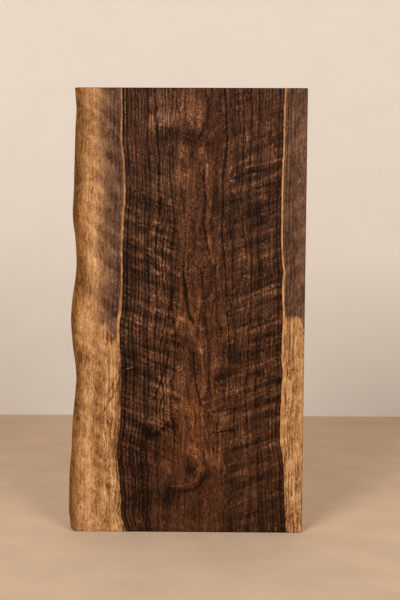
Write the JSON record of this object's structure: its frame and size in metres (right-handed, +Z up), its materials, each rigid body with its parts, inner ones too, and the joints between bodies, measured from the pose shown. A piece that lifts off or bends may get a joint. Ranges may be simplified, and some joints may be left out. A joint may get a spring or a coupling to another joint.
{
  "type": "black walnut board",
  "caption": "Thick live-edge black walnut board: a flat slab with sawn faces, ends and right edge, and a natural waving bark-side left edge.",
  "frame": {"origin": "middle of the board's bounding box at the lower sawn end, on the surface that the board stands on", "axes": "+Z up along the grain, from the foot to the top end; +X to the right as seen from the front, from the live edge to the sawn edge; +Y from the wider front face to the narrower back face"},
  "size_m": [0.326, 0.048, 0.61],
  "materials": {
    "walnut": "planed black walnut, oiled to a low sheen, with pale sapwood bands along both long edges"
  },
  "bodies": {
    "root": {"walnut_board": "walnut"}
  },
  "joints": []
}
